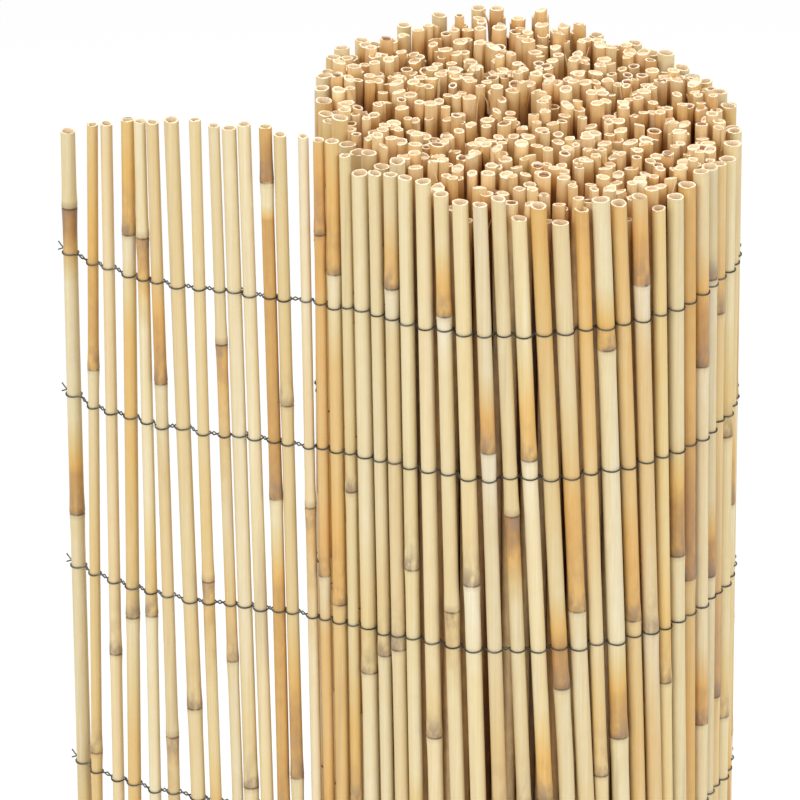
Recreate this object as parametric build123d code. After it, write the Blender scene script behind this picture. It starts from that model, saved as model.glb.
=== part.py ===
"""Reed screening fence, rolled up and standing on end with its loose end unrolled to one side.

The mat is natural reed stems bound side by side by rows of thin wire. The wound turns are one
ridged wall that spirals from the core to the outside, one ridge for each reed, with a narrow gap
between the turns. The reeds of the loose end are separate hollow stems, each with a swollen joint.
The wire rows lie on the outer face of the mat, round the roll and along the loose end.

Millimetres, +Z up. The origin is on the floor, on the axis of the roll. The loose end leaves the
front of the roll (-Y) and runs to the left (-X).
"""

import os
from math import atan2, cos, degrees, pi, radians, sin, tan
from random import Random

from build123d import *

# Overall sizes of the rolled screen
FENCE_HEIGHT = 1000.0
ROLL_RADIUS = 112.0
TURN_PITCH = 10.2
LEAVE_ANGLE = 236.0

# Tops of the wound turns: how far the roll's front lies below the fence's height, how much the tops
# rise across the roll to its back and to its left, and how far the inner turns stand above the outer
FRONT_TOP_DROP = 22.0
TOP_RISE_BACK = 13.0
TOP_RISE_LEFT = 20.0
INNER_TOP_RISE = 8.0

# Reeds of the wound turns: the tops of the inner ones are level in small bundles
OUTER_REED_RADIUS = 4.3
OUTER_REED_PITCH = 10.2
OUTER_TOP_SPREAD = 13.0
INNER_REED_RADIUS = 3.6
INNER_REED_PITCH = 9.3
INNER_TOP_SPREAD = 24.0
REED_RADIUS_SPREAD = 0.25
NECK_HALF_WIDTH = 1.1
CORE_RADIUS = 5.0
BUNDLE_SIZE = 3
SEED = 7

# Reeds of the loose end
FLAP_REED_SIDES = 7
REED_WALL = 0.9
BORE_DEPTH = 45.0
JOINT_SWELL = 0.45
JOINT_HALF_HEIGHT = 2.5

# Bends of the loose end from the roll outwards: length along the mat and change of heading
FLAP_BENDS = ((40.0, 12.0), (55.0, 10.0), (100.0, -42.0))

# Each reed of the loose end from the free edge to the roll: its diameter, how far its top lies
# below the fence's height, how far its swollen joint lies below its top, and how far along the mat
# it stands from the next reed, or the last one from where the loose end leaves the roll
FLAP_REEDS = (
    (7.4, 29.0, 41.0, 18.1), (5.6, 19.0, 133.0, 10.1), (6.3, 16.0, 290.0, 12.9), (6.8, 11.0, 61.0, 8.6),
    (6.0, 10.0, 62.0, 7.9), (6.5, 9.0, 140.0, 10.9), (7.4, 6.0, 320.0, 12.0), (6.2, 4.0, 250.0, 10.3),
    (5.8, 6.0, 117.0, 7.2), (7.4, 7.0, 360.0, 7.9), (6.9, 4.0, 410.0, 10.5), (6.7, 4.0, 29.0, 7.1),
    (6.4, 7.0, 145.0, 11.7), (5.5, 6.0, 200.0, 7.4), (5.8, 7.0, 50.0, 7.0), (7.0, 7.0, 70.0, 7.1),
    (5.9, 13.0, 180.0, 7.5), (8.0, 21.0, 270.0, 8.7), (6.8, 19.0, 260.0, 8.5), (7.2, 18.0, 60.0, 4.4),
)

# Wire rows: closer together near the top, then evenly spaced down to the last row
WIRE_DIAMETER = 1.0
WIRE_CLEARANCE = 0.2
WIRE_TAIL = 6.0
TOP_ROW_DEPTH = 94.0
FIRST_ROW_SPACING = 78.0
ROW_SPACING_STEP = 16.0
FULL_ROW_SPACING = 110.0
LAST_ROW_HEIGHT = 60.0

UP = Vector(0, 0, 1)


class Reed:
    """One reed in plan, bound by the wire rows at a point on its outer side.

    Along is the way the mat runs there, from the free edge towards the core.
    """

    def __init__(self, binding_point, outward, radius, top, outermost=True):
        self.outermost = outermost
        self.binding_point = binding_point
        self.outward = outward
        self.along = Vector(-outward.Y, outward.X)
        self.radius = radius
        self.top = top
        self.centre = binding_point - outward * radius


def direction(angle):
    """Unit vector in plan at an angle in degrees from +X."""
    return Vector(cos(radians(angle)), sin(radians(angle)))


def row_heights():
    """Heights of the wire rows, from the top one down."""
    heights = []
    height = FENCE_HEIGHT - TOP_ROW_DEPTH
    spacing = FIRST_ROW_SPACING
    while height >= LAST_ROW_HEIGHT:
        heights.append(height)
        height -= spacing
        spacing = min(spacing + ROW_SPACING_STEP, FULL_ROW_SPACING)
    return heights


def roll_top(place):
    """Height of the tops, before their spread, at a place given in shares of the roll's radius."""
    rise_back = TOP_RISE_BACK * (1 + place.Y) / 2
    rise_left = -TOP_RISE_LEFT * place.X / 2
    return FENCE_HEIGHT - FRONT_TOP_DROP + rise_back + rise_left


def wound_reeds():
    """Reeds of the roll, from where the loose end leaves it inwards to the core."""
    rng = Random(SEED)
    reeds = []
    radius = ROLL_RADIUS
    turned = 0.5 * OUTER_REED_PITCH / ROLL_RADIUS
    while radius > CORE_RADIUS + INNER_REED_RADIUS:
        outermost = turned < 2 * pi
        reed_radius = OUTER_REED_RADIUS if outermost else INNER_REED_RADIUS
        pitch = OUTER_REED_PITCH if outermost else INNER_REED_PITCH
        spread = OUTER_TOP_SPREAD if outermost else INNER_TOP_SPREAD
        reed_radius += rng.uniform(-REED_RADIUS_SPREAD, REED_RADIUS_SPREAD)
        outward = direction(LEAVE_ANGLE + degrees(turned))
        top = roll_top(outward * (radius / ROLL_RADIUS)) - rng.uniform(0, spread)
        if not outermost:
            top += INNER_TOP_RISE
        reeds.append(Reed(outward * radius, outward, reed_radius, top, outermost))
        turned += pitch / (radius - reed_radius)
        radius = ROLL_RADIUS - TURN_PITCH * turned / (2 * pi)
    return reeds


def flap_place(distance):
    """Point on the binding line of the loose end and its heading, at a distance from the roll."""
    point = direction(LEAVE_ANGLE) * ROLL_RADIUS
    heading = LEAVE_ANGLE - 90.0
    for length, turn in FLAP_BENDS:
        share = min(1.0, distance / length)
        bend = turn * share
        chord = 2 * length / radians(turn) * sin(radians(bend) / 2)
        point += direction(heading + bend / 2) * chord
        heading += bend
        distance -= length * share
    return point + direction(heading) * distance, heading


def loose_reeds():
    """Reeds of the loose end, from the free edge to the roll."""
    reeds = []
    distance = sum(spacing for *_, spacing in FLAP_REEDS)
    for diameter, drop, _, spacing in FLAP_REEDS:
        point, heading = flap_place(distance)
        reeds.append(Reed(point, direction(heading + 90.0), diameter / 2, FENCE_HEIGHT - drop))
        distance -= spacing
    return reeds


def neck(first, second):
    """Outer and inner corner of the narrow neck where two neighbouring ridges meet."""
    middle = (first.centre + second.centre) / 2
    outward = (first.outward + second.outward).normalized()
    return middle + outward * NECK_HALF_WIDTH, middle - outward * NECK_HALF_WIDTH


def end_neck(reed, side):
    """Corners of the closing face at an end of the spiral, on one side of its last reed."""
    middle = reed.centre + reed.along * (side * reed.radius)
    return middle + reed.outward * NECK_HALF_WIDTH, middle - reed.outward * NECK_HALF_WIDTH


def crest(reed, side, rounded):
    """Crest of a ridge on the outer (1) or inner (-1) face: a flat if rounded, or else a point."""
    top = reed.centre + reed.outward * (side * reed.radius)
    if not rounded:
        return [top]
    half_flat = reed.along * (reed.radius * tan(pi / 8))
    return [top - half_flat, top + half_flat]


def ridged_section(bundle, necks, rounded):
    """Section of neighbouring reeds as one ridged strip, between the necks on its two sides.

    Only the outer crests are rounded, because the next turn hides the inner ones.
    """
    outer = [necks[0][0]]
    inner = [necks[0][1]]
    for reed, (neck_out, neck_in) in zip(bundle, necks[1:]):
        outer += crest(reed, 1, rounded) + [neck_out]
        inner += crest(reed, -1, False) + [neck_in]
    return make_face(Polyline(*outer, *reversed(inner), close=True))


def make_roll(reeds):
    """The wound turns as one wall, with each bundle of reeds cut to its own height."""
    necks = [end_neck(reeds[0], -1)]
    necks += [neck(first, second) for first, second in zip(reeds, reeds[1:])]
    necks += [end_neck(reeds[-1], 1)]
    bundles = []
    start = 0
    while start < len(reeds):
        rounded = reeds[start].outermost
        size = 1 if rounded else BUNDLE_SIZE
        stop = min(start + size, len(reeds))
        section = ridged_section(reeds[start:stop], necks[start:stop + 1], rounded)
        bundles.append(extrude(section, reeds[start].top, dir=(0, 0, 1)).solid())
        start = stop
    return bundles[0].fuse(*bundles[1:], glue=True)


def stem_length(radius_below, radius_above, foot, head):
    """A length of reed between two heights, as an even-sided stem that may widen or narrow."""
    flat_change = (radius_below - radius_above) * cos(pi / FLAP_REED_SIDES)
    taper = degrees(atan2(flat_change, head - foot))
    section = Pos(0, 0, foot) * RegularPolygon(radius_below, FLAP_REED_SIDES)
    return extrude(section, head - foot, taper=taper)


def joint_height(top, drop, rows):
    """Height of a reed's joint, moved down where a wire row would lie on its swelling."""
    height = top - drop
    keep_off = JOINT_HALF_HEIGHT + WIRE_DIAMETER
    for row in rows:
        if abs(height - row) < keep_off:
            height = row - keep_off
    return height


def make_loose_reed(reed, joint_drop, rows):
    """One stem of the loose end, swollen at its joint and hollow at its cut top."""
    joint = joint_height(reed.top, joint_drop, rows)
    below = joint - JOINT_HALF_HEIGHT
    above = joint + JOINT_HALF_HEIGHT
    swollen = reed.radius + JOINT_SWELL
    stem = stem_length(reed.radius, reed.radius, 0, below)
    stem += stem_length(reed.radius, swollen, below, joint)
    stem += stem_length(swollen, reed.radius, joint, above)
    stem += stem_length(reed.radius, reed.radius, above, reed.top)
    bore_radius = reed.radius - REED_WALL
    bore_floor = max(reed.top - BORE_DEPTH, above + REED_WALL)
    stem -= stem_length(bore_radius, bore_radius, bore_floor, reed.top)
    turn = degrees(atan2(reed.outward.Y, reed.outward.X))
    return Pos(reed.centre.X, reed.centre.Y, 0) * Rot(0, 0, turn) * stem


def wire_line(reeds):
    """Inner side of a wire row in plan, as points with the outward direction at each.

    The wire is straight over each pair of reeds, bends between the pairs, starts in a tail beyond
    the free edge and ends on the last reed, where the next turn hides it.
    """
    pairs = list(zip(reeds[::2], reeds[1::2]))
    first, second = pairs[0]
    last = pairs[-1][1]
    way = (second.binding_point - first.binding_point).normalized()
    tail = first.binding_point - way * (first.radius + WIRE_TAIL)
    line = [(tail + first.outward * WIRE_CLEARANCE, first.outward)]
    for (start, near), (far, end) in zip(pairs, pairs[1:]):
        before = near.binding_point - start.binding_point
        gap = far.binding_point - near.binding_point
        after = end.binding_point - far.binding_point
        bend = max(before.get_signed_angle(gap, UP), gap.get_signed_angle(after, UP))
        outward = (near.outward + far.outward).normalized()
        stand_off = WIRE_CLEARANCE + gap.length / 2 * tan(radians(bend))
        line.append((near.binding_point + gap / 2 + outward * stand_off, outward))
    line.append((last.binding_point + last.outward * WIRE_CLEARANCE, last.outward))
    return line


def make_wire(line, height):
    """One wire row, laid on the outer side of the reeds at a height."""
    inner = [point for point, _ in line]
    outer = [point + outward * WIRE_DIAMETER for point, outward in line]
    section = make_face(Polyline(*inner, *reversed(outer), close=True))
    foot = height - WIRE_DIAMETER / 2
    return Pos(0, 0, foot) * extrude(section, WIRE_DIAMETER, dir=(0, 0, 1))


def main():
    """Writes the roll, the reeds of the loose end and the wire rows, each to its own file."""
    os.makedirs("parts", exist_ok=True)
    rows = row_heights()
    wound = wound_reeds()
    loose = loose_reeds()
    export_step(make_roll(wound), "parts/reed_roll.step")
    for number, (reed, (_, _, joint_drop, _)) in enumerate(zip(loose, FLAP_REEDS), 1):
        stem = make_loose_reed(reed, joint_drop, rows)
        export_step(stem, f"parts/loose_reed_{number:02d}.step")
    line = wire_line(loose + [reed for reed in wound if reed.outermost])
    for number, height in enumerate(rows, 1):
        export_step(make_wire(line, height), f"parts/wire_row_{number:02d}.step")


main()
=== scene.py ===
"""Dresses the reed screening fence: hollow reeds with joints, twined binding wires and a studio.

Metres, +Z up. The loose reeds and the outer turn stand where the solids have them. The inner turns
are wound closer than the solid's, within the same outline.
"""

import logging
import math
from dataclasses import dataclass, field
from enum import Enum
from random import Random

import bpy
import numpy as np
from mathutils import Matrix, Vector


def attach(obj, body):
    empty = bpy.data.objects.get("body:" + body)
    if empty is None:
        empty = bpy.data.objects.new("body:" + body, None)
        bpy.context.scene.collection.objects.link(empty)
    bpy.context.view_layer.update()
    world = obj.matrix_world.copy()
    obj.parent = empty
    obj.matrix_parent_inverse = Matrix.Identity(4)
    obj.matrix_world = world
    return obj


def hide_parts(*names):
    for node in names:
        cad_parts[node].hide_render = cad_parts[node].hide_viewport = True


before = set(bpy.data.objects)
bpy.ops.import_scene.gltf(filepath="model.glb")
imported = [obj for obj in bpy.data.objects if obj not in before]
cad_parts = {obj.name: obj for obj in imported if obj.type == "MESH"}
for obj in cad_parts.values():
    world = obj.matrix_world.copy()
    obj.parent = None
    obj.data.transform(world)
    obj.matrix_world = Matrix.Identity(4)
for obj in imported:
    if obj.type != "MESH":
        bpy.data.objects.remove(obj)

log = logging.getLogger("reed_screen")
BODY = "root"
SMOOTH_ANGLE = math.radians(50.0)
WHITE = (1.0, 1.0, 1.0, 1.0)
Colour = tuple[float, float, float, float]
Band = tuple[float, float, float, float]
Scale = tuple[float, float, float]
Range = tuple[float, float]
Choices = tuple[float, ...]
Socket = bpy.types.NodeSocket
Piece = bpy.types.Object
Material = bpy.types.Material


def linear(red: int, green: int, blue: int) -> Colour:
    """Turns a display colour into the linear colour that a shader takes.

    Args:
        red: red, 0 to 255.
        green: green, 0 to 255.
        blue: blue, 0 to 255.

    Returns:
        The linear colour with full alpha.
    """
    def channel(value: int) -> float:
        """Linear value of one channel."""
        share = value / 255
        return share / 12.92 if share <= 0.04045 else ((share + 0.055) / 1.055) ** 2.4

    return channel(red), channel(green), channel(blue), 1.0


class Tint(Enum):
    """Colours of the reed, its cut ends, the wire and the studio."""

    BLEACHED = linear(238, 227, 198)
    CREAM = linear(231, 213, 168)
    STRAW = linear(228, 201, 144)
    HONEY = linear(228, 183, 108)
    BROWN = linear(182, 136, 86)
    # Peach tones of the inner reeds, warmer than the outer skin as painted bounce light between the reeds
    PEACH_PALE = linear(244, 225, 188)
    PEACH = linear(239, 211, 162)
    PEACH_MID = linear(231, 194, 138)
    PEACH_RIPE = linear(214, 166, 102)
    # Russet: painted shade in the crevices between the inner reeds
    CREVICE_PAINTED_SHADE = linear(140, 80, 42)
    SCAR = linear(92, 66, 48)
    SOOT = linear(148, 126, 106)
    WEATHERED = linear(190, 166, 134)
    CUT_PALE = linear(248, 234, 208)
    CUT_TAN = linear(230, 202, 162)
    PITH = linear(248, 231, 200)
    # Deep pith: painted shade towards the floor of a bore
    PITH_PAINTED_SHADE = linear(150, 98, 54)
    WIRE_DARK = linear(70, 68, 64)
    WIRE_PALE = linear(122, 120, 114)
    FLOOR = linear(240, 240, 240)


class NodeSheet:
    """Adds and joins the nodes of one material or world."""

    MIX_A = 6
    MIX_B = 7
    MIX_RESULT = 2
    NOISE_MIDDLE = 0.5
    NOISE_DETAIL = 3.0

    def __init__(self, owner: Material | bpy.types.World) -> None:
        """Clears the nodes of the material or world."""
        self.owner = owner
        owner.use_nodes = True
        self.tree = owner.node_tree
        self.tree.nodes.clear()

    def add(self, kind: str, values: dict | None = None, **settings: object) -> bpy.types.Node:
        """Adds a node.

        Args:
            kind: the node's type.
            values: default values by input name or index.
            settings: properties of the node.

        Returns:
            The new node.
        """
        node = self.tree.nodes.new(kind)
        for key, value in settings.items():
            setattr(node, key, value)
        for key, value in (values or {}).items():
            node.inputs[key].default_value = value
        return node

    def join(self, source: Socket, target: Socket) -> None:
        """Links an output to an input."""
        self.tree.links.new(source, target)

    def mix(self, share: Socket, first: object, second: object, blend: str = "MIX") -> Socket:
        """Mixes two colours.

        Args:
            share: the factor.
            first: the first colour, as a socket or a value.
            second: the second colour, as a socket or a value.
            blend: the way of blending.

        Returns:
            The mixed colour's socket.
        """
        node = self.add("ShaderNodeMix", data_type="RGBA", blend_type=blend)
        for index, value in ((0, share), (self.MIX_A, first), (self.MIX_B, second)):
            if isinstance(value, Socket):
                self.join(value, node.inputs[index])
            else:
                node.inputs[index].default_value = value
        return node.outputs[self.MIX_RESULT]

    def sum(self, first: Socket, second: Socket, share: float) -> Socket:
        """Adds a share of a noise, counted from its middle, to a value.

        Args:
            first: the value that is added to.
            second: the noise that is added.
            share: how much of the noise is added.

        Returns:
            The sum's socket.
        """
        scaled = self.add("ShaderNodeMath", {1: share, 2: -share * self.NOISE_MIDDLE},
                          operation="MULTIPLY_ADD")
        self.join(second, scaled.inputs[0])
        total = self.add("ShaderNodeMath", operation="ADD")
        self.join(first, total.inputs[0])
        self.join(scaled.outputs[0], total.inputs[1])
        return total.outputs[0]

    def product(self, first: Socket, second: Socket) -> Socket:
        """Multiplies two values."""
        node = self.add("ShaderNodeMath", operation="MULTIPLY")
        self.join(first, node.inputs[0])
        self.join(second, node.inputs[1])
        return node.outputs[0]

    def band(self, value: Socket, low: float, high: float, start: float, end: float) -> Socket:
        """Maps a range of values to another, clamped.

        Args:
            value: the socket that is mapped.
            low: the value that gives start.
            high: the value that gives end.
            start: the result at low.
            end: the result at high.

        Returns:
            The mapped value's socket.
        """
        node = self.add("ShaderNodeMapRange", {1: low, 2: high, 3: start, 4: end})
        self.join(value, node.inputs[0])
        return node.outputs[0]

    def ramp(self, value: Socket, stops: tuple) -> Socket:
        """Turns a value into a colour.

        Args:
            value: the socket that is coloured.
            stops: pairs of place and tint.

        Returns:
            The colour's socket.
        """
        node = self.add("ShaderNodeValToRGB")
        elements = node.color_ramp.elements
        while len(elements) < len(stops):
            elements.new(1.0)
        for element, (place, tint) in zip(elements, stops):
            element.position = place
            element.color = tint.value
        self.join(value, node.inputs[0])
        return node.outputs[0]

    def attribute(self, name: str) -> Socket:
        """Value of a mesh attribute."""
        return self.add("ShaderNodeAttribute", attribute_name=name).outputs["Fac"]

    def noise(self, stretch: Scale) -> Socket:
        """Noise on the piece's own coordinates.

        Args:
            stretch: cells to a metre along X, Y and Z.

        Returns:
            The noise value's socket.
        """
        place = self.add("ShaderNodeTexCoord")
        mapping = self.add("ShaderNodeMapping", {"Scale": stretch})
        noise = self.add("ShaderNodeTexNoise", {"Scale": 1.0, "Detail": self.NOISE_DETAIL})
        self.join(place.outputs["Object"], mapping.inputs["Vector"])
        self.join(mapping.outputs["Vector"], noise.inputs["Vector"])
        return noise.outputs["Fac"]

    def close(self, colour: Socket, rough: Socket, relief: Socket, depth: float, values: dict) -> Material:
        """Ends the material in one glossy-diffuse shader.

        Args:
            colour: base colour.
            rough: roughness.
            relief: height of the fine relief.
            depth: depth of the relief in metres.
            values: constant values of the shader.

        Returns:
            The finished material.
        """
        bump = self.add("ShaderNodeBump", {"Strength": 1.0, "Distance": depth})
        shader = self.add("ShaderNodeBsdfPrincipled", values)
        output = self.add("ShaderNodeOutputMaterial")
        self.join(relief, bump.inputs["Height"])
        self.join(bump.outputs["Normal"], shader.inputs["Normal"])
        self.join(colour, shader.inputs["Base Color"])
        self.join(rough, shader.inputs["Roughness"])
        self.join(shader.outputs[0], output.inputs["Surface"])
        return self.owner

    def blend(self, share: Socket, first: Socket, second: Socket, output: str) -> None:
        """Ends the sheet in a mix of two shaders.

        Args:
            share: share of the second shader.
            first: the first shader.
            second: the second shader.
            output: type of the output node.
        """
        mix = self.add("ShaderNodeMixShader")
        for index, source in enumerate((share, first, second)):
            self.join(source, mix.inputs[index])
        self.join(mix.outputs[0], self.add(output).inputs["Surface"])


@dataclass(frozen=True)
class ReedSkin:
    """Dry satin skin of a reed, by ripeness, with fine grain and stained joints."""

    name: str = "reed_skin"
    tones: tuple[Tint, ...] = (Tint.BLEACHED, Tint.CREAM, Tint.STRAW, Tint.HONEY, Tint.BROWN)
    ripe_at: tuple[float, ...] = (0.0, 0.22, 0.45, 0.72, 1.0)
    grain: Scale = (1500.0, 1500.0, 9.0)
    streak: Scale = (420.0, 420.0, 5.0)
    mottle: Scale = (230.0, 230.0, 110.0)
    drift: Scale = (70.0, 70.0, 6.0)
    stain: Scale = (150.0, 150.0, 9.0)
    mottle_share: float = 0.18
    streak_share: float = 0.24
    drift_share: float = 0.30
    stain_band: Band = (0.60, 0.74, 0.0, 0.45)
    shade_band: Band = (0.0, 1.0, 0.82, 1.04)
    hue_band: Band = (0.0, 1.0, 0.492, 0.506)
    grain_band: Band = (0.30, 0.62, 0.22, 0.0)
    soot_band: Band = (0.38, 0.60, 0.10, 1.0)
    scar_band: Band = (0.30, 0.55, 0.45, 1.0)
    rough_band: Band = (0.3, 0.7, 0.40, 0.58)
    specular: float = 0.42
    relief: float = 0.00006

    def make(self) -> Material:
        """Builds the material, which reads each stem's ripeness (carrying painted shade in the bores and on
        the inner stems), shade, hue, soot and scars.
        """
        sheet = NodeSheet(bpy.data.materials.new(self.name))
        grain = sheet.noise(self.grain)
        streak = sheet.noise(self.streak)
        mottle = sheet.noise(self.mottle)
        ripeness_and_shade = sheet.sum(sheet.attribute("ripeness_and_shade"), mottle, self.mottle_share)
        ripeness_and_shade = sheet.sum(ripeness_and_shade, streak, self.streak_share)
        ripeness_and_shade = sheet.sum(ripeness_and_shade, sheet.noise(self.drift), self.drift_share)
        colour = sheet.ramp(ripeness_and_shade, tuple(zip(self.ripe_at, self.tones)))
        stain = sheet.band(sheet.noise(self.stain), *self.stain_band)
        colour = sheet.mix(stain, colour, Tint.WEATHERED.value)
        tone = sheet.add("ShaderNodeHueSaturation")
        sheet.join(colour, tone.inputs["Color"])
        sheet.join(sheet.band(sheet.attribute("shade"), *self.shade_band), tone.inputs["Value"])
        sheet.join(sheet.band(sheet.attribute("hue"), *self.hue_band), tone.inputs["Hue"])
        colour = sheet.mix(sheet.band(grain, *self.grain_band), tone.outputs[0], Tint.STRAW.value, "MULTIPLY")
        for mark, band, tint in (("soot", self.soot_band, Tint.SOOT), ("scar", self.scar_band, Tint.SCAR)):
            share = sheet.product(sheet.attribute(mark), sheet.band(mottle, *band))
            colour = sheet.mix(share, colour, tint.value)
        rough = sheet.band(streak, *self.rough_band)
        return sheet.close(colour, rough, grain, self.relief, {"Specular IOR Level": self.specular})


@dataclass(frozen=True)
class FibreFinish:
    """A finish of two tones and one fine noise, for a cut end, a hollow or a wire.

    Without a patch noise the tone follows the ripeness that the stem carries, which inside the bore is
    painted shade.
    """

    name: str
    fine: Scale
    patch: Scale | None
    fine_share: float
    tones: tuple[tuple[float, Tint], ...]
    rough_band: Band
    relief: float
    constants: dict[str, float]

    def make(self) -> Material:
        """Builds the material."""
        sheet = NodeSheet(bpy.data.materials.new(self.name))
        fine = sheet.noise(self.fine)
        start = sheet.noise(self.patch) if self.patch else sheet.attribute("ripeness_and_shade")
        colour = sheet.ramp(sheet.sum(start, fine, self.fine_share), self.tones)
        rough = sheet.band(fine, *self.rough_band)
        return sheet.close(colour, rough, fine, self.relief, self.constants)


# Tones of the reeds inside the roll, warmer than those outside as painted bounce light between the reeds,
# ending in a russet painted shade for the crevices
BOUNCE_PAINTED_TONES = (Tint.PEACH_PALE, Tint.PEACH, Tint.PEACH_MID, Tint.PEACH_RIPE, Tint.CREVICE_PAINTED_SHADE)

# Freshly cut rim of a reed: pale, matt and fibrous
CUT_END = FibreFinish(
    name="reed_cut_end", fine=(1800.0, 1800.0, 900.0), patch=(160.0, 160.0, 120.0), fine_share=0.5,
    tones=((0.35, Tint.CUT_PALE), (0.75, Tint.CUT_TAN)), rough_band=(0.3, 0.7, 0.75, 0.92),
    relief=0.00012, constants={"Specular IOR Level": 0.25},
)

# Inside of a reed: pale pith with a painted shade that darkens it towards the floor of the bore
REED_HOLLOW = FibreFinish(
    name="reed_hollow", fine=(1300.0, 1300.0, 60.0), patch=None, fine_share=0.5,
    tones=((0.0, Tint.PITH), (1.0, Tint.PITH_PAINTED_SHADE)), rough_band=(0.3, 0.7, 0.80, 0.95),
    relief=0.0001, constants={"Specular IOR Level": 0.2},
)

# Dull galvanised wire with darker, weathered stretches
DULL_WIRE = FibreFinish(
    name="dull_wire", fine=(900.0, 900.0, 2500.0), patch=(130.0, 130.0, 400.0), fine_share=0.4,
    tones=((0.35, Tint.WIRE_DARK), (0.75, Tint.WIRE_PALE)), rough_band=(0.3, 0.7, 0.38, 0.58),
    relief=0.00003, constants={"Metallic": 0.75},
)


@dataclass(frozen=True)
class Look:
    """How ripe a reed is, where its top joint lies and how it is stained there.

    Ripeness runs from 0, bleached, over cream, straw and honey to 1, brown. The joint's depth is
    below the reed's own top, in metres.
    """

    base: float
    depth: float
    above: float
    below: float
    reach: float = 0.06
    tip: float | None = None


# Looks of the loose reeds, from the free edge to the roll
LOOSE_LOOKS = tuple(Look(*row) for row in (
    (0.16, 0.041, 0.20, 0.98, 0.040), (0.45, 0.133, 0.72, 0.16, 0.100),
    (0.26, 0.290, 0.30, 0.26), (0.62, 0.061, 0.78, 0.14, 0.055),
    (0.16, 0.062, 0.22, 0.86, 0.050), (0.38, 0.140, 0.80, 0.16, 0.050),
    (0.32, 0.320, 0.40, 0.30), (0.32, 0.250, 0.45, 0.60, 0.060),
    (0.18, 0.117, 0.24, 0.72, 0.090), (0.16, 0.360, 0.30, 0.20),
    (0.22, 0.410, 0.30, 0.24), (0.82, 0.029, 0.96, 0.12, 0.020),
    (0.34, 0.145, 0.42, 0.36, 0.040), (0.14, 0.200, 0.26, 0.62, 0.080),
    (0.60, 0.050, 0.80, 0.74, 0.040), (0.56, 0.070, 0.76, 0.14, 0.050),
    (0.28, 0.180, 0.40, 0.28), (0.14, 0.270, 0.40, 0.20),
    (0.20, 0.260, 0.40, 0.20), (0.30, 0.060, 0.66, 0.08, 0.030),
))

# Looks of the outer turn's first reeds, from where the loose end leaves the roll round to the right
FRONT_LOOKS = tuple(Look(*row) for row in (
    (0.18, 0.210, 0.30, 0.30), (0.22, 0.300, 0.40, 0.20, 0.030),
    (0.24, 0.064, 0.78, 0.08, 0.030), (0.30, 0.205, 0.34, 0.06, 0.050),
    (0.20, 0.132, 0.78, 0.06, 0.032), (0.24, 0.170, 0.36, 1.00, 0.050),
    (0.22, 0.129, 0.72, 0.14, 0.048), (0.24, 0.262, 0.92, 0.20, 0.040, 0.76),
    (0.26, 0.210, 0.74, 0.24, 0.090), (0.24, 0.310, 0.50, 0.30, 0.060, 0.84),
    (0.14, 0.080, 0.70, 0.14, 0.026), (0.52, 0.228, 0.72, 0.40, 0.060, 0.66),
    (0.48, 0.047, 0.80, 0.06, 0.040), (0.44, 0.260, 0.62, 0.34, 0.060),
    (0.24, 0.195, 0.92, 0.20, 0.050), (0.70, 0.215, 0.94, 0.50, 0.080),
    (0.22, 0.105, 0.86, 0.12, 0.050), (0.16, 0.060, 0.22, 0.10, 0.030),
    (0.46, 0.080, 0.66, 0.44, 0.040), (0.22, 0.150, 0.50, 0.20, 0.050),
))


@dataclass
class Reed:
    """One reed of the mat in plan, and what makes it differ from its neighbours."""

    number: int
    centre: Vector
    outward: Vector
    radius: float
    top: float
    turned: float
    look: Look
    lean: float = 0.0
    splay: Vector = field(default_factory=lambda: Vector((0.0, 0.0)))
    bow: float = 0.0
    oval: float = 1.0
    slope: float = 0.16
    fray: float = 0.00022
    # hollow: ripeness at the floor of the bore, a painted shade inside it
    hollow: float = 0.45
    pivot: float = 0.85
    shade: float = 0.5
    hue: float = 0.5
    joints: list[float] = field(default_factory=list)

    SETTLE = 0.60
    SPLAY_FROM = 0.91
    BOW_LENGTH = 0.55

    @property
    def along(self) -> Vector:
        """Way the mat runs, from the free edge towards the core."""
        return Vector((-self.outward.y, self.outward.x))

    def centre_at(self, height: float) -> Vector:
        """Centre of the reed at a height.

        Args:
            height: height above the floor.

        Returns:
            The centre in plan.
        """
        shift = self.lean * (self.pivot - max(height, self.SETTLE))
        shift += self.bow * math.sin(math.tau * height / self.BOW_LENGTH + self.number)
        if self.turned > 0:
            centre = Matrix.Rotation(shift / self.centre.length, 2) @ self.centre
        else:
            centre = self.centre + self.along * shift
        return centre + self.splay * max(0.0, (height - self.SPLAY_FROM) / (self.top - self.SPLAY_FROM))


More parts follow.
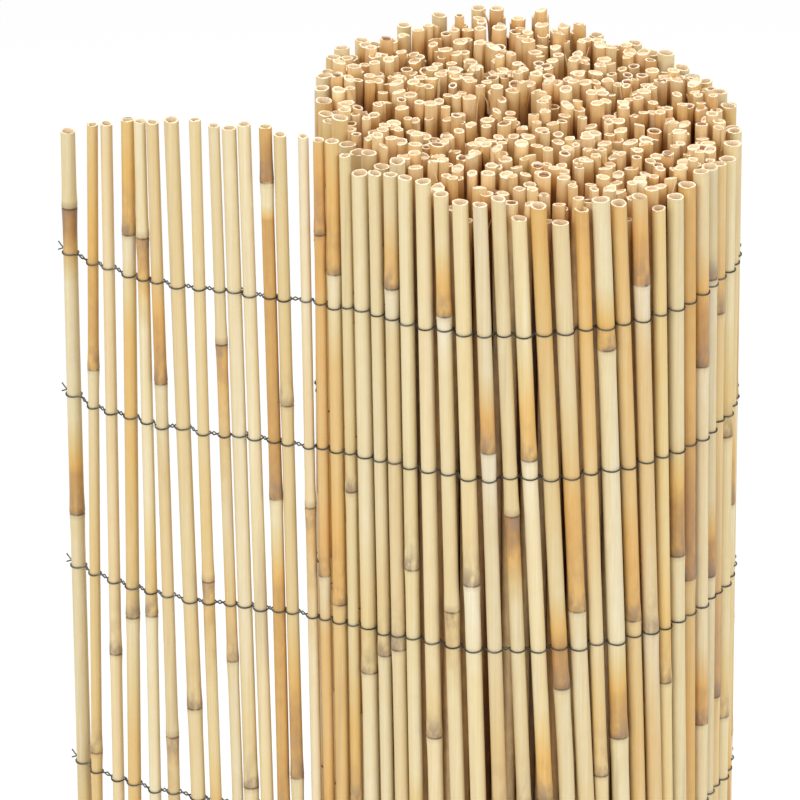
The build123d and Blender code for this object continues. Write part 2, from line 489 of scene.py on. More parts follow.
@dataclass(frozen=True)
class MatLine:
    """Places of the reeds: a spiral from the core outwards, and a loose end that leaves its front."""

    height: float = 1.0
    roll_radius: float = 0.112
    turn_pitch: float = 0.0102
    leave_angle: float = math.radians(236.0)
    front_top_drop: float = 0.022
    top_rise_back: float = 0.013
    top_rise_left: float = 0.020
    outer_radius: float = 0.0043
    outer_pitch: float = 0.0102
    outer_spread: float = 0.013
    radius_spread: float = 0.00025
    inner_top_rise: float = 0.008
    inner_spread: float = 0.024
    inner_depth: float = 0.0038
    inner_turn_pitch: float = 0.0075
    inner_pitch: float = 0.0073
    inner_radii: Choices = (0.0026, 0.0029, 0.0032, 0.0034, 0.0036, 0.0038)
    inner_stray: float = 0.0012
    inner_splay: float = 0.0026
    clump: float = 62.0
    clump_stretch: float = 1.3
    clump_phases: Range = (1.3, 0.4)
    least_drop: float = 0.20
    drawn_drop: float = 0.28
    clump_drop: float = 0.16
    sunken: float = 0.13
    sunken_drop: float = 0.45
    core_radius: float = 0.008
    seed: int = 7
    dress_seed: int = 23
    bends: tuple = ((0.040, math.radians(12.0)), (0.055, math.radians(10.0)),
                    (0.100, math.radians(-42.0)))
    loose_sizes: tuple = (
        (0.0074, 0.029, 0.0181), (0.0056, 0.019, 0.0101), (0.0063, 0.016, 0.0129), (0.0068, 0.011, 0.0086),
        (0.0060, 0.010, 0.0079), (0.0065, 0.009, 0.0109), (0.0074, 0.006, 0.0120), (0.0062, 0.004, 0.0103),
        (0.0058, 0.006, 0.0072), (0.0074, 0.007, 0.0079), (0.0069, 0.004, 0.0105), (0.0067, 0.004, 0.0071),
        (0.0064, 0.007, 0.0117), (0.0055, 0.006, 0.0074), (0.0058, 0.007, 0.0070), (0.0070, 0.007, 0.0071),
        (0.0059, 0.013, 0.0075), (0.0080, 0.021, 0.0087), (0.0068, 0.019, 0.0085), (0.0072, 0.018, 0.0044),
    )
    loose_leans: Choices = (0.8, -0.5, 0.4, -0.1, 0.7, 1.2, 1.6, 1.2, 1.5, 1.5,
                            1.5, 1.1, 1.2, 0.9, 0.8, 0.85, 0.95, 1.05, 1.10, 1.10)
    joint_gap: Range = (0.155, 0.215)
    lowest_joint: float = 0.03
    loose_pivot: float = 0.92
    first_lean: float = math.radians(1.0)
    front_lean: float = math.radians(2.7)
    stray_lean: float = math.radians(0.30)
    lean_turn: float = 0.6
    lean_fade: float = 1.3
    seam_share: float = 0.3

    # Ranges and choices that the dress of the reeds is drawn from
    recesses: Choices = (0.0, 0.0, 0.0006, 0.0014)
    bows: Range = (0.0, 0.0005)
    ovals: Range = (0.93, 1.0)
    outer_sizes: Range = (0.84, 1.04)
    loose_shades: Range = (0.45, 0.85)
    loose_hues: Range = (0.2, 0.8)
    outer_shades: Range = (0.40, 0.90)
    outer_hues: Range = (0.2, 0.9)
    inner_shades: Range = (0.45, 1.0)
    inner_hues: Range = (0.3, 0.9)
    inner_ovals: Choices = (0.72, 0.84, 0.92, 1.0)
    inner_slopes: Choices = (0.08, 0.18, 0.25, 0.45)
    inner_frays: Choices = (0.0001, 0.0002, 0.0002, 0.0007)
    # Painted shade at the floor of the inner reeds' bores
    inner_bore_shades: Choices = (0.1, 0.15, 0.2, 0.2, 0.3, 0.3, 0.4, 0.9)
    inner_joint_depths: Range = (0.015, 0.09)
    drawn_bases: Choices = (0.16, 0.20, 0.24, 0.28, 0.36, 0.48)
    drawn_above: Choices = (0.30, 0.50, 0.72, 0.84)
    drawn_below: Choices = (0.08, 0.14, 0.20, 0.60)
    drawn_depths: Range = (0.03, 0.22)
    drawn_reaches: Range = (0.03, 0.08)

    def unit(self, angle: float) -> Vector:
        """Unit vector in plan at an angle from +X."""
        return Vector((math.cos(angle), math.sin(angle)))

    def roll_top(self, place: Vector) -> float:
        """Height of the tops, before their spread.

        Args:
            place: place in plan, in shares of the roll's radius.

        Returns:
            The height.
        """
        rise_back = self.top_rise_back * (1 + place.y) / 2
        rise_left = -self.top_rise_left * place.x / 2
        return self.height - self.front_top_drop + rise_back + rise_left

    def turn_radius(self, turned: float) -> float:
        """Radius of the spiral's outer face after a turn from where the loose end leaves."""
        return self.roll_radius - self.turn_pitch * turned / math.tau

    def outer(self) -> list[Reed]:
        """Reeds of the outer turn, from where the loose end leaves it once round."""
        draw = Random(self.seed)
        dress = Random(self.dress_seed)
        reeds: list[Reed] = []
        turned = 0.5 * self.outer_pitch / self.roll_radius
        while turned < math.tau:
            radius = self.turn_radius(turned) if reeds else self.roll_radius
            reed_radius = self.outer_radius + draw.uniform(-self.radius_spread, self.radius_spread)
            outward = self.unit(self.leave_angle + turned)
            top = self.roll_top(outward * (radius / self.roll_radius)) - draw.uniform(0, self.outer_spread)
            reed = Reed(len(reeds) + 1, outward * (radius - reed_radius), outward, reed_radius, top, turned,
                        self.any_look(dress))
            self.dress_outer(reed, dress)
            reeds.append(reed)
            turned += self.outer_pitch / (radius - reed_radius)
        return reeds

    def inner(self) -> list[Reed]:
        """Reeds of the inner turns, on a tighter spiral down to the core, standing unevenly."""
        dress = Random(self.dress_seed + 2)
        reeds: list[Reed] = []
        turned = math.tau
        middle = self.turn_radius(turned) - self.inner_depth
        while middle > self.core_radius:
            outward = self.unit(self.leave_angle + turned)
            stray = Vector((dress.uniform(-1, 1), dress.uniform(-1, 1))) * self.inner_stray
            centre = outward * middle + stray
            swell = math.sin(self.clump * centre.x + self.clump_phases[0])
            swell += math.sin(self.clump * centre.y * self.clump_stretch + self.clump_phases[1])
            drop = self.least_drop + self.drawn_drop * dress.random() + self.clump_drop * (1 - swell / 2)
            if dress.random() < self.sunken:
                drop += self.sunken_drop
            drop *= self.inner_spread
            top = self.roll_top(centre / self.roll_radius) + self.inner_top_rise - drop
            reed = Reed(len(reeds) + 1, centre, outward, dress.choice(self.inner_radii), top, turned,
                        self.any_look(dress))
            self.dress_inner(reed, dress)
            reeds.append(reed)
            step = self.inner_pitch / max(middle, self.inner_pitch)
            turned += step
            middle -= self.inner_turn_pitch * step / math.tau
        return reeds

    def loose(self) -> list[Reed]:
        """Reeds of the loose end, from the free edge to the roll."""
        dress = Random(self.dress_seed + 1)
        reeds: list[Reed] = []
        distance = sum(spacing for *_, spacing in self.loose_sizes)
        for index, ((diameter, drop, spacing), look) in enumerate(zip(self.loose_sizes, LOOSE_LOOKS)):
            point, heading = self.flap_place(distance)
            outward = self.unit(heading + math.pi / 2)
            radius = diameter / 2
            reed = Reed(index + 1, point - outward * radius, outward, radius, self.height - drop, 0.0, look)
            reed.lean = math.radians(self.loose_leans[index])
            reed.pivot = self.loose_pivot
            reed.bow = dress.uniform(*self.bows)
            reed.oval = dress.uniform(*self.ovals)
            reed.shade = dress.uniform(*self.loose_shades)
            reed.hue = dress.uniform(*self.loose_hues)
            reed.joints = self.joint_heights(reed, dress)
            reeds.append(reed)
            distance -= spacing
        return reeds

    def flap_place(self, distance: float) -> tuple[Vector, float]:
        """Place on the loose end's outer face.

        Args:
            distance: distance along the mat from where it leaves the roll.

        Returns:
            The point in plan and the heading there.
        """
        point = self.unit(self.leave_angle) * self.roll_radius
        heading = self.leave_angle - math.pi / 2
        for length, turn in self.bends:
            share = min(1.0, distance / length)
            bend = turn * share
            point = point + self.unit(heading + bend / 2) * (2 * length / turn * math.sin(bend / 2))
            heading += bend
            distance -= length * share
        return point + self.unit(heading) * distance, heading

    def any_look(self, dress: Random) -> Look:
        """A look drawn at random for a reed that isn't matched to one that shows."""
        base = dress.choice(self.drawn_bases)
        above = dress.choice(self.drawn_above)
        below = dress.choice(self.drawn_below)
        return Look(base, dress.uniform(*self.drawn_depths), above, below, dress.uniform(*self.drawn_reaches))

    def dress_outer(self, reed: Reed, dress: Random) -> None:
        """Gives a reed of the outer turn its lean, bow, tone and joints."""
        if reed.number <= len(FRONT_LOOKS):
            reed.look = FRONT_LOOKS[reed.number - 1]
        fade = math.cos(min(1.0, max(0.0, reed.turned - self.lean_turn) / self.lean_fade) * math.pi / 2)
        grow = min(1.0, reed.turned / self.lean_turn)
        reed.lean = (self.first_lean + (self.front_lean - self.first_lean) * grow) * fade
        reed.lean += dress.uniform(-self.stray_lean, self.stray_lean)
        wane = max(0.0, 1.0 - (math.tau - reed.turned) / self.lean_turn)
        reed.lean += self.seam_share * self.front_lean * wane
        reed.radius *= dress.uniform(*self.outer_sizes)
        reed.centre = reed.centre - reed.outward * dress.choice(self.recesses)
        reed.oval = dress.uniform(*self.ovals)
        reed.bow = dress.uniform(*self.bows)
        reed.shade = dress.uniform(*self.outer_shades)
        reed.hue = dress.uniform(*self.outer_hues)
        reed.joints = self.joint_heights(reed, dress)

    def dress_inner(self, reed: Reed, dress: Random) -> None:
        """Gives a reed of the inner turns its splayed, cut top and its tone."""
        reed.splay = Vector((dress.uniform(-1, 1), dress.uniform(-1, 1))) * self.inner_splay
        reed.oval = dress.choice(self.inner_ovals)
        reed.slope = dress.choice(self.inner_slopes)
        reed.fray = dress.choice(self.inner_frays)
        reed.hollow = dress.choice(self.inner_bore_shades)
        reed.shade = dress.uniform(*self.inner_shades)
        reed.hue = dress.uniform(*self.inner_hues)
        reed.joints = [reed.top - dress.uniform(*self.inner_joint_depths)]

    def joint_heights(self, reed: Reed, dress: Random) -> list[float]:
        """Heights of a reed's joints, from the top one down."""
        heights = []
        height = reed.top - reed.look.depth
        while height > self.lowest_joint:
            heights.append(height)
            height -= dress.uniform(*self.joint_gap)
        return heights


def link_object(name: str, data: bpy.types.ID) -> Piece:
    """Makes an object of its data and puts it in the scene.

    Args:
        name: the object's name.
        data: its mesh, curve, light or camera.

    Returns:
        The new object.
    """
    made = bpy.data.objects.new(name, data)
    bpy.context.scene.collection.objects.link(made)
    return made


def delete_object(piece: Piece) -> None:
    """Deletes an object and its mesh."""
    mesh = piece.data
    bpy.data.objects.remove(piece)
    bpy.data.meshes.remove(mesh)


def select_only(pieces: list[Piece]) -> None:
    """Selects these pieces alone and makes the first one active."""
    bpy.ops.object.select_all(action="DESELECT")
    for piece in pieces:
        piece.select_set(True)
    bpy.context.view_layer.objects.active = pieces[0]


def set_values(mesh: bpy.types.Mesh, key: str, values: np.ndarray) -> None:
    """Stores one value for each vertex, which a material reads by its key."""
    attribute = mesh.attributes.new(key, "FLOAT", "POINT")
    attribute.data.foreach_set("value", values.astype(np.float32))


class StemPart(Enum):
    """Finishes of a stem, in the order of its material slots."""

    SKIN = 0
    RIM = 1
    HOLLOW = 2


@dataclass
class StemPattern:
    """A stem that is modelled once, ring above ring a unit apart, and copied to each reed."""

    name: str
    sides: int
    rings: int
    materials: list[Material]
    wall: float = 0.0008
    bore: float = 0.0045
    seed: int = 5

    INSET = 0.3
    SINK = 0.5
    SLACK = 0.02
    INSIDE_REACH = 0.9
    THINNEST_BORE = 0.55

    def __post_init__(self) -> None:
        """Models the pattern and reads which vertex is in which ring."""
        self.draw = Random(self.seed)
        self.pattern = self.model()
        places = np.array([vertex.co for vertex in self.pattern.data.vertices])
        self.angle = np.arctan2(places[:, 1], places[:, 0])
        self.ring = np.ceil(places[:, 2] - self.SLACK).astype(int)
        self.inside = np.hypot(places[:, 0], places[:, 1]) < self.INSIDE_REACH
        self.deep = self.inside & (places[:, 2] < self.rings - 1 - self.SLACK)

    def model(self) -> Piece:
        """Extrudes a round foot ring by ring, insets the cut end and sinks the bore.

        Returns:
            The pattern's object, which is deleted once its copies are made.
        """
        bpy.ops.object.select_all(action="DESELECT")
        bpy.ops.mesh.primitive_circle_add(vertices=self.sides, radius=1.0, fill_type="NGON")
        stem = bpy.context.object
        stem.name = self.name
        bpy.ops.object.mode_set(mode="EDIT")
        bpy.ops.mesh.select_all(action="SELECT")
        for _ in range(self.rings - 1):
            bpy.ops.mesh.extrude_region_move(TRANSFORM_OT_translate={"value": (0, 0, 1)})
        bpy.ops.mesh.inset(thickness=self.INSET)
        bpy.ops.mesh.extrude_region_move(TRANSFORM_OT_translate={"value": (0, 0, -self.SINK)})
        bpy.ops.mesh.select_all(action="SELECT")
        bpy.ops.mesh.normals_make_consistent(inside=False)
        bpy.ops.object.mode_set(mode="OBJECT")
        for material in self.materials:
            stem.data.materials.append(material)
        for face in stem.data.polygons:
            face.material_index = self.part_of(face).value
        return stem

    def part_of(self, face: bpy.types.MeshPolygon) -> StemPart:
        """Finish of a face of the pattern, by its place."""
        reach = Vector(face.center.xy).length
        cut = self.rings - 1
        if face.center.z > cut - self.SLACK:
            return StemPart.RIM
        if face.center.z > cut - self.SINK - self.SLACK and reach < 1.0 - self.INSET + self.SLACK:
            return StemPart.HOLLOW
        return StemPart.SKIN

    def copy(self, name: str, reed: Reed, rows: "RingRows") -> Piece:
        """Copies the pattern and fits it to a reed.

        Args:
            name: the copy's name.
            reed: the reed that it is fitted to.
            rows: height, radius and tone of each ring.

        Returns:
            The copy, with a mesh of its own.
        """
        mesh = self.pattern.data.copy()
        mesh.name = name
        stem = link_object(name, mesh)
        heights = rows.heights[self.ring]
        radii = rows.radii[self.ring].copy()
        radii[self.inside] = np.maximum(radii[self.inside] - self.wall,
                                        self.THINNEST_BORE * radii[self.inside])
        slope = self.draw.uniform(0.0, reed.slope)
        facing = self.draw.uniform(0.0, math.tau)
        at_cut = (self.ring == self.rings - 1) & ~self.deep
        fray = np.array([self.draw.uniform(-1.0, 1.0) for _ in heights]) * reed.fray
        heights = heights + at_cut * (radii * slope * (np.cos(self.angle - facing) - 1.0) + fray)
        heights = heights - self.deep * self.bore
        centres = np.array([reed.centre_at(height) for height in rows.heights])[self.ring]
        centres[self.deep] = reed.centre_at(reed.top - self.bore)
        turn = self.angle + math.atan2(reed.outward.y, reed.outward.x)
        radii = radii * (1.0 - (1.0 - reed.oval) * np.sin(turn - facing) ** 2)
        places = np.column_stack((centres[:, 0] + radii * np.cos(turn),
                                  centres[:, 1] + radii * np.sin(turn), heights))
        mesh.vertices.foreach_set("co", places.astype(np.float32).ravel())
        ripeness_and_shade = rows.ripeness_and_shade[self.ring]
        # Inside the bore the ripeness runs from 0 at the rim to the reed's hollow at the floor: painted shade
        # in the bore
        tones = {
            "ripeness_and_shade": np.where(self.inside, np.where(self.deep, reed.hollow, 0.0), ripeness_and_shade),
            "scar": rows.scar[self.ring],
            "soot": rows.soot[self.ring],
            "shade": np.full(len(heights), reed.shade),
            "hue": np.full(len(heights), reed.hue),
        }
        for key, values in tones.items():
            set_values(mesh, key, values)
        mesh.update()
        return stem


@dataclass(frozen=True)
class JointRing:
    """One ring of a stem near a joint: its height from the joint, its swelling and its stain."""

    offset: float
    swell: float
    side: float
    scar: float = 0.0
    soot_above: float = 0.0
    soot_below: float = 0.0


@dataclass
class RingRows:
    """Height, radius and tone of each ring of one stem, from the foot up."""

    heights: np.ndarray
    radii: np.ndarray
    ripeness_and_shade: np.ndarray
    scar: np.ndarray
    soot: np.ndarray

    STEP = 0.0003

    # Rings of a joint from below up. A side of -1 takes the stain below, 1 the stain above, 0 neither
    JOINT = (
        JointRing(-0.060, 0.0, 0.0), JointRing(-0.012, 0.05, -1.0, 0.0, 0.0, 0.3),
        JointRing(-0.0035, 0.5, -1.0, 0.0, 0.0, 0.75), JointRing(-0.0009, 0.9, -1.0, 0.15, 0.1, 0.6),
        JointRing(0.0, 0.45, -1.0, 1.0, 0.4, 0.4), JointRing(0.0008, 1.0, 1.0, 0.35, 0.6, 0.1),
        JointRing(0.0045, 0.6, 1.0, 0.0, 0.75, 0.0), JointRing(0.0110, 0.1, 1.0, 0.0, 0.25, 0.0),
        JointRing(0.034, 0.0, 1.0), JointRing(0.080, 0.0, 0.0),
    )
    SWELL = 0.00042

    # Rings farther than NEAR from a joint move with the reach of its stain
    NEAR = 0.02
    FULL_REACH = 0.06
    LOWER_ABOVE = (0.3, 0.5, 0.7, 0.85)
    LOWER_BELOW = (0.1, 0.2, 0.5)
    LOWER_REACH = (0.03, 0.07)

    # Joint and tip of a plain stem; under its tip the stem is painted browner, a painted shade in the
    # crevices between the tops
    PLAIN_SWELL = 0.4
    PLAIN_SOOT = 0.35
    TIP_DEPTH = 0.012
    UNDER_TIP_PAINTED_SHADE = (0.3, 0.6)
    DEEP_RIPER = 0.2

    # Reeds behind the first inner turn show only between the tops; their stems turn russet towards the joint,
    # a painted shade in the crevices between the tops
    BURIED_FROM = 2 * math.tau
    BURIED_PAINTED_SHADE = 1.1

    @classmethod
    def jointed(cls, reed: Reed, joints: int, dress: Random) -> "RingRows":
        """Rings of a stem with full joints.

        Args:
            reed: the reed that the rings are for.
            joints: how many joints the pattern has room for.
            dress: source of the lower joints' stains.

        Returns:
            The rings, with joints that the reed lacks pressed together at its foot.
        """
        rows = [(0.0, 0.0, reed.look.base, 0.0, 0.0)]
        heights = reed.joints[:joints] + [0.0] * (joints - len(reed.joints))
        looks = [reed.look]
        for _ in heights[1:]:
            looks.append(Look(reed.look.base, 0.0, dress.choice(cls.LOWER_ABOVE),
                              dress.choice(cls.LOWER_BELOW), dress.uniform(*cls.LOWER_REACH)))
        for height, look in reversed(list(zip(heights, looks))):
            for ring in cls.JOINT:
                stain = look.above if ring.side > 0 else look.below
                ripeness_and_shade = stain if ring.side else reed.look.base
                reach = look.reach / cls.FULL_REACH if abs(ring.offset) > cls.NEAR else 1.0
                soot = ring.soot_above if look.above >= look.below else ring.soot_below
                marks = (ring.swell, ripeness_and_shade, ring.scar, soot) if height else (0.0, ripeness_and_shade, 0.0, 0.0)
                rows.append((height + ring.offset * reach, *marks))
        tip = reed.look.base if reed.look.tip is None else reed.look.tip
        rows.append((reed.top, 0.0, tip, 0.0, 0.0))
        return cls.stacked(reed, rows)

    @classmethod
    def plain(cls, reed: Reed, dress: Random) -> "RingRows":
        """Rings of a stem of the inner turns, of which only the top shows."""
        base = reed.look.base
        # Buried stems take a russet painted shade at the joint; on the first inner turn the joint is a little
        # riper
        deep = cls.BURIED_PAINTED_SHADE if reed.turned > cls.BURIED_FROM else base + cls.DEEP_RIPER
        rows = [
            (0.0, 0.0, base, 0.0, 0.0),
            (reed.joints[0], cls.PLAIN_SWELL, deep, 0.0, cls.PLAIN_SOOT),
            # Browner just under the top: painted shade between the tops
            (reed.top - cls.TIP_DEPTH, 0.0, base + dress.uniform(*cls.UNDER_TIP_PAINTED_SHADE), 0.0, 0.0),
            (reed.top, 0.0, base, 0.0, 0.0),
        ]
        return cls.stacked(reed, rows)

    @classmethod
    def stacked(cls, reed: Reed, rows: list[tuple]) -> "RingRows":
        """Turns rows into arrays, with each ring a step above the one below and under the top."""
        table = np.array(rows)
        count = len(table)
        order = np.arange(count) * cls.STEP
        heights = np.maximum.accumulate(np.maximum(table[:, 0] - order, 0.0)) + order
        heights = np.minimum(heights, reed.top - order[::-1])
        radii = reed.radius + table[:, 1] * cls.SWELL
        return cls(heights, radii, table[:, 2], table[:, 3], table[:, 4])


def finish_piece(piece: Piece, slot: str, *nodes: str) -> None:
    """Sets a piece on its body, hides the solids that it stands for and logs its faces.

    Args:
        piece: the finished piece.
        slot: the name of a material slot; not used.
        nodes: the solids that it stands for.
    """
    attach(piece, BODY)
    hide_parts(*nodes)
    log.info("%s: %d faces", piece.name, len(piece.data.polygons))


def join_pieces(name: str, pieces: list[Piece]) -> Piece:
    """Joins pieces into one and smooths its round sides.

    Args:
        name: name of the joined piece.
        pieces: the pieces.

    Returns:
        The joined piece.
    """
    select_only(pieces)
    if len(pieces) > 1:
        bpy.ops.object.join()
    bpy.ops.object.shade_smooth_by_angle(angle=SMOOTH_ANGLE)
    joined = bpy.context.object
    joined.name = name
    joined.data.name = name
    return joined


@dataclass
class ReedMat:
    """The reeds: the loose end's one by one, the outer turn and the inner turns."""

    mat: MatLine
    materials: list[Material]
    inner_materials: list[Material]
    sides: int = 12
    joints: int = 6
    inner_sides: int = 8
    inner_rings: int = 4
    inner_bore: float = 0.0016
    stain_seed: int = 41

    def __post_init__(self) -> None:
        """Works out where the reeds stand."""
        self.loose = self.mat.loose()
        self.outer = self.mat.outer()
        self.inner = self.mat.inner()

    def build(self) -> None:
        """Builds and dresses all the reeds."""
        dress = Random(self.stain_seed)
        rings = len(RingRows.JOINT) * self.joints + 2
        pattern = StemPattern("jointed_stem", self.sides, rings, self.materials)
        for reed in self.loose:
            name = f"loose_stem_{reed.number:02d}"
            stem = pattern.copy(name, reed, RingRows.jointed(reed, self.joints, dress))
            finish_piece(join_pieces(name, [stem]), "reed", f"loose_reed_{reed.number:02d}")
        stems = [pattern.copy(f"outer_stem_{reed.number:02d}", reed,
                              RingRows.jointed(reed, self.joints, dress)) for reed in self.outer]
        finish_piece(join_pieces("outer_turn", stems), "reed", "reed_roll")
        delete_object(pattern.pattern)
        self.build_inner(dress)

    def build_inner(self, dress: Random) -> None:
        """Builds the inner turns, one piece to a turn."""
        pattern = StemPattern("plain_stem", self.inner_sides, self.inner_rings, self.inner_materials,
                              bore=self.inner_bore)
        turns: dict[int, list[Piece]] = {}
        for reed in self.inner:
            turn = int(reed.turned // math.tau)
            stem = pattern.copy(f"inner_stem_{reed.number:03d}", reed, RingRows.plain(reed, dress))
            turns.setdefault(turn, []).append(stem)
        for turn, stems in turns.items():
            finish_piece(join_pieces(f"inner_turn_{turn:02d}", stems), "reed", "reed_roll")
        delete_object(pattern.pattern)


@dataclass
class SheathShreds:
    """Dry shreds of leaf sheath that cling to some reeds of the inner turns."""

    reeds: list[Reed]
    material: Material
    count: int = 46
    lengths: Range = (0.010, 0.026)
    widths: Range = (0.0012, 0.0034)
    curls: Range = (-0.15, 0.35)
    taper: float = 0.8
    wave: float = 0.15
    wave_turn: float = 7.0
    thickness: float = 0.0002
    lift: float = 0.003
    tones: Range = (0.0, 0.4)
    shade: float = 0.9
    hue: float = 0.5
    seed: int = 17

    CUTS = 5

    def build(self) -> None:
        """Models a strip once and copies it to the reeds that carry a shred."""
        draw = Random(self.seed)
        pattern = self.model()
        shreds = [self.copy(pattern, reed, draw) for reed in draw.sample(self.reeds, self.count)]
        delete_object(pattern)
        finish_piece(join_pieces("sheath_shreds", shreds), "reed", "reed_roll")

    def model(self) -> Piece:
        """A strip a unit high, wide and thick, cut across and along."""
        bpy.ops.object.select_all(action="DESELECT")
        bpy.ops.mesh.primitive_plane_add(size=1.0, rotation=(math.pi / 2, 0.0, 0.0), location=(0.0, 0.0, 0.5))
        bpy.ops.object.transform_apply(location=True, rotation=True, scale=True)
        strip = bpy.context.object
        bpy.ops.object.mode_set(mode="EDIT")
        bpy.ops.mesh.select_all(action="SELECT")
        bpy.ops.mesh.subdivide(number_cuts=self.CUTS)
        bpy.ops.mesh.extrude_region_move(TRANSFORM_OT_translate={"value": (0, 1, 0)})
        bpy.ops.mesh.select_all(action="SELECT")
        bpy.ops.mesh.normals_make_consistent(inside=False)
        bpy.ops.object.mode_set(mode="OBJECT")
        strip.data.materials.append(self.material)
        return strip

    def copy(self, pattern: Piece, reed: Reed, draw: Random) -> Piece:
        """Copies the strip to a reed, curls it and narrows its tip.

        Args:
            pattern: the strip.
            reed: the reed that it clings to.
            draw: source of its size and its turn.

        Returns:
            The copy, with a mesh of its own.
        """
        mesh = pattern.data.copy()
        shred = link_object("shred", mesh)
        length = draw.uniform(*self.lengths)
        width = draw.uniform(*self.widths)
        facing = draw.uniform(math.pi, math.tau)
        curl = draw.uniform(*self.curls) * length
        foot = reed.top - length + draw.uniform(0.0, self.lift)
        outward = Vector((math.cos(facing), math.sin(facing)))
        side = Vector((-outward.y, outward.x))
        centre = reed.centre_at(reed.top) + outward * reed.radius
        for vertex in mesh.vertices:
            across, through, along = vertex.co
            share = width * across * (1.0 - self.taper * along ** 2)
            share += self.wave * width * math.sin(self.wave_turn * along + facing)
            place = centre + side * share + outward * (self.thickness * through + curl * along ** 2)
            vertex.co = (*place, foot + length * along)
        tone = draw.uniform(*self.tones)
        for key, value in (("ripeness_and_shade", tone), ("shade", self.shade), ("hue", self.hue)):
            set_values(mesh, key, np.full(len(mesh.vertices), value))
        return shred


@dataclass
class BindingWires:
    """Rows of two strands that pass before and behind each reed and twist between the reeds."""

    reeds: list[Reed]
    material: Material
    strand_radius: float = 0.00040
    top_row: float = 0.906
    first_spacing: float = 0.078
    spacing_step: float = 0.016
    full_spacing: float = 0.110
    last_row: float = 0.060
    rise: float = 0.0009
    sag: float = 0.0005
    wander: float = 0.0010
    tail: float = 0.006
    tail_curl: tuple[Range, ...] = ((1.0, 0.0022), (0.55, 0.0007), (0.15, -0.0004))
    seed: int = 11
    sweep: Choices = (-70.0, -45.0, -20.0, 0.0, 20.0, 45.0, 70.0)

    def build(self) -> None:
        """Builds every row."""
        draw = Random(self.seed)
        height = self.top_row
        spacing = self.first_spacing
        number = 1
        while height >= self.last_row:
            levels = [height + draw.uniform(-self.wander, self.wander) for _ in self.reeds]
            front = self.strand(f"twine_{number:02d}", self.route(levels, 1))
            back = self.strand(f"twine_{number:02d}_back", self.route(levels, -1))
            row = join_pieces(f"twine_{number:02d}", [front, back])
            finish_piece(row, "binding_wire", f"wire_row_{number:02d}")
            height -= spacing
            spacing = min(spacing + self.spacing_step, self.full_spacing)
            number += 1

    def route(self, levels: list[float], side: int) -> list[Vector]:
        """Centre line of a strand.

        Args:
            levels: height of the row at each reed.
            side: 1 for the strand before the first reed, -1 for the one behind it.

        Returns:
            Points from the free edge on round the roll.
        """
        first = self.reeds[0]
        centre = first.centre_at(levels[0])
        points = []
        for share, lift in self.tail_curl:
            place = centre - first.along * (first.radius + self.tail * share)
            points.append(Vector((*place, levels[0] + side * lift)))
        for index, (reed, level) in enumerate(zip(self.reeds, levels)):
            points += self.wrap(reed, level, side)
            if index + 1 < len(self.reeds):
                points.append(self.twist(reed, self.reeds[index + 1], level, levels[index + 1], side))
        return points

    def wrap(self, reed: Reed, level: float, side: int) -> list[Vector]:
        """Points of a strand over one reed.

        Args:
            reed: the reed.
            level: height of the row there.
            side: 1 for the outer face, -1 for the inner.

        Returns:
            The points along the mat.
        """
        reach = reed.radius + self.strand_radius
        centre = reed.centre_at(level)
        points = []
        for degrees in self.sweep:
            angle = math.radians(degrees)
            place = centre + reed.outward * (side * reach * math.cos(angle))
            place = place + reed.along * (reach * math.sin(angle))
            points.append(Vector((*place, level - self.sag * math.cos(angle))))
        return points

    def twist(self, reed: Reed, after: Reed, level: float, next_level: float, side: int) -> Vector:
        """Point where a strand passes between two reeds.

        Args:
            reed: the reed before the gap.
            after: the reed after the gap.
            level: height of the row at the first reed.
            next_level: height of the row at the second.
            side: 1 for the front strand, -1 for the back one.

        Returns:
            The point, between the reeds or in the valley where they are too close.
        """
        start = reed.centre_at(level)
        end = after.centre_at(next_level)
        reach = max(reed.radius, after.radius) + self.strand_radius
        valley = math.sqrt(max(0.0, reach ** 2 - ((end - start).length / 2) ** 2))
        outward = (reed.outward + after.outward).normalized()
        place = (start + end) / 2 + outward * (side * valley)
        return Vector((*place, (level + next_level) / 2 + side * self.rise))

    def strand(self, name: str, points: list[Vector]) -> Piece:
        """Draws a strand as a round wire.

        Args:
            name: the strand's name.
            points: its centre line.

        Returns:
            The strand as a mesh.
        """
        curve = bpy.data.curves.new(name, "CURVE")
        curve.dimensions = "3D"
        curve.bevel_depth = self.strand_radius
        curve.bevel_resolution = 1
        curve.use_fill_caps = True
        spline = curve.splines.new("POLY")
        spline.points.add(len(points) - 1)
        for target, point in zip(spline.points, points):
            target.co = (*point, 1.0)
        strand = link_object(name, curve)
        select_only([strand])
        bpy.ops.object.convert(target="MESH")
        strand.data.materials.clear()
        strand.data.materials.append(self.material)
        return strand


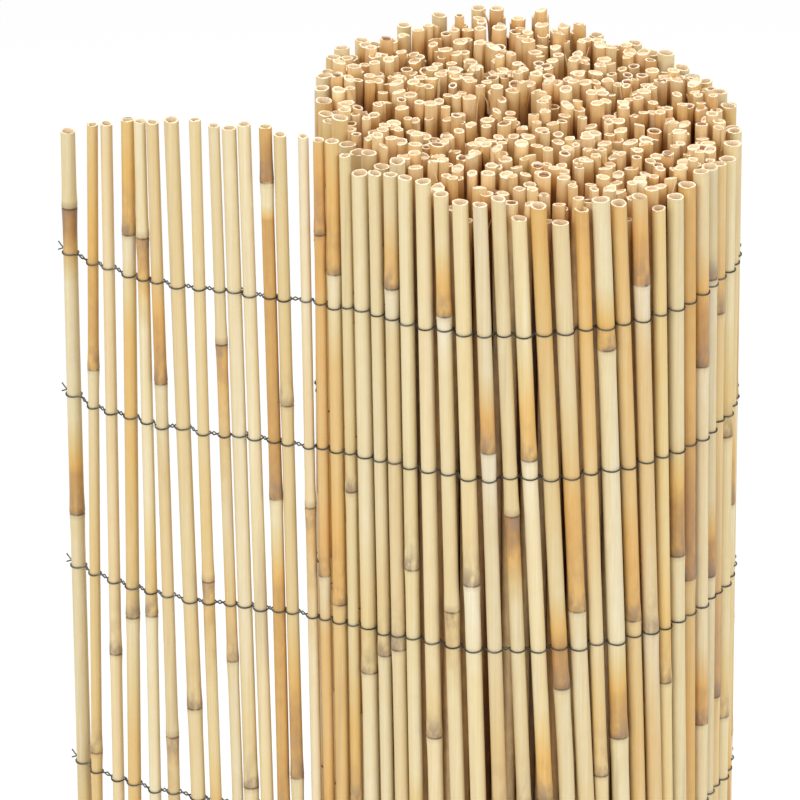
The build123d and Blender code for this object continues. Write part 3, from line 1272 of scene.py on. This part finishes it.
@dataclass
class Studio:
    """Pale floor, soft lamps and the camera."""

    aim: Vector = field(default_factory=lambda: Vector((-0.0608, 0.0, 0.820)))
    elevation: float = math.radians(25.2)
    distance: float = 5.0
    lens: float = 450.0
    floor_size: float = 60.0
    floor_grey: Colour = (0.38, 0.38, 0.38, 1.0)
    floor_glow: float = 0.62
    world_strength: float = 0.66
    sensor: float = 36.0
    far: float = 200.0
    lamp_aim: Scale = (0.0, 0.0, 0.75)
    lamps: tuple[tuple[str, Scale, float, float], ...] = (
        ("key_lamp", (-1.9, -2.6, 2.9), 2.2, 54.0),
        ("fill_lamp", (2.6, -1.9, 1.9), 2.4, 26.0),
        ("top_lamp", (0.1, 0.7, 3.2), 1.8, 46.0),
    )

    def build(self) -> None:
        """Builds the floor, the lamps, the world and the camera."""
        self.floor()
        self.world()
        for lamp in self.lamps:
            self.lamp(*lamp)
        self.camera()

    def floor(self) -> None:
        """A pale floor that stays white to the camera apart from the shadow."""
        bpy.ops.object.select_all(action="DESELECT")
        bpy.ops.mesh.primitive_plane_add(size=self.floor_size)
        floor = bpy.context.object
        floor.name = "floor"
        sheet = NodeSheet(bpy.data.materials.new("studio_floor"))
        matt = sheet.add("ShaderNodeBsdfDiffuse", {"Color": Tint.FLOOR.value})
        part = sheet.add("ShaderNodeBsdfDiffuse", {"Color": self.floor_grey})
        glow = sheet.add("ShaderNodeEmission", {"Strength": self.floor_glow})
        both = sheet.add("ShaderNodeAddShader")
        sheet.join(part.outputs[0], both.inputs[0])
        sheet.join(glow.outputs[0], both.inputs[1])
        sheet.blend(self.seen_share(sheet), matt.outputs[0], both.outputs[0], "ShaderNodeOutputMaterial")
        floor.data.materials.append(sheet.owner)

    def seen_share(self, sheet: NodeSheet) -> Socket:
        """One for rays that the camera sees, directly or in gloss or glass, or else zero."""
        path = sheet.add("ShaderNodeLightPath")
        seen = path.outputs["Is Camera Ray"]
        for name in ("Is Glossy Ray", "Is Transmission Ray"):
            either = sheet.add("ShaderNodeMath", operation="MAXIMUM")
            sheet.join(seen, either.inputs[0])
            sheet.join(path.outputs[name], either.inputs[1])
            seen = either.outputs[0]
        return seen

    def world(self) -> None:
        """An even pale world that the camera sees as white."""
        world = bpy.data.worlds.new("studio")
        bpy.context.scene.world = world
        sheet = NodeSheet(world)
        seen = sheet.add("ShaderNodeLightPath").outputs["Is Camera Ray"]
        dim = sheet.add("ShaderNodeBackground", {"Color": WHITE, "Strength": self.world_strength})
        white = sheet.add("ShaderNodeBackground", {"Color": WHITE})
        sheet.blend(seen, dim.outputs[0], white.outputs[0], "ShaderNodeOutputWorld")

    def lamp(self, name: str, place: Scale, size: float, power: float) -> None:
        """Hangs a soft square lamp that faces the roll.

        Args:
            name: the lamp's name.
            place: where it hangs.
            size: its side.
            power: its power in watts.
        """
        light = bpy.data.lights.new(name, "AREA")
        light.shape = "SQUARE"
        light.size = size
        light.energy = power
        lamp = link_object(name, light)
        lamp.location = place
        lamp.rotation_euler = (Vector(self.lamp_aim) - lamp.location).to_track_quat("-Z", "Y").to_euler()

    def camera(self) -> None:
        """A long lens that looks down on the roll from the front."""
        data = bpy.data.cameras.new("camera")
        data.lens = self.lens
        data.sensor_width = self.sensor
        data.clip_end = self.far
        camera = link_object("camera", data)
        back = Vector((0.0, -math.cos(self.elevation), math.sin(self.elevation)))
        camera.location = self.aim + back * self.distance
        camera.rotation_euler = (-back).to_track_quat("-Z", "Y").to_euler()
        bpy.context.scene.camera = camera


def main() -> None:
    """Builds the reeds, the wires and the studio in order."""
    logging.basicConfig(level=logging.INFO, format="%(name)s %(message)s")
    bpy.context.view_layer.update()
    bpy.context.scene.view_settings.view_transform = "Standard"
    mat = MatLine()
    cuts = [CUT_END.make(), REED_HOLLOW.make()]
    # Skin of the inner reeds: warmed as painted bounce light between the reeds, with painted shade in the
    # crevices
    inner_skin = ReedSkin("bounce_painted_skin", BOUNCE_PAINTED_TONES).make()
    reeds = ReedMat(mat, [ReedSkin().make(), *cuts], [inner_skin, *cuts])
    reeds.build()
    SheathShreds(reeds.inner, inner_skin).build()
    BindingWires(reeds.loose + reeds.outer, DULL_WIRE.make()).build()
    Studio().build()


if __name__ == "__main__":
    main()
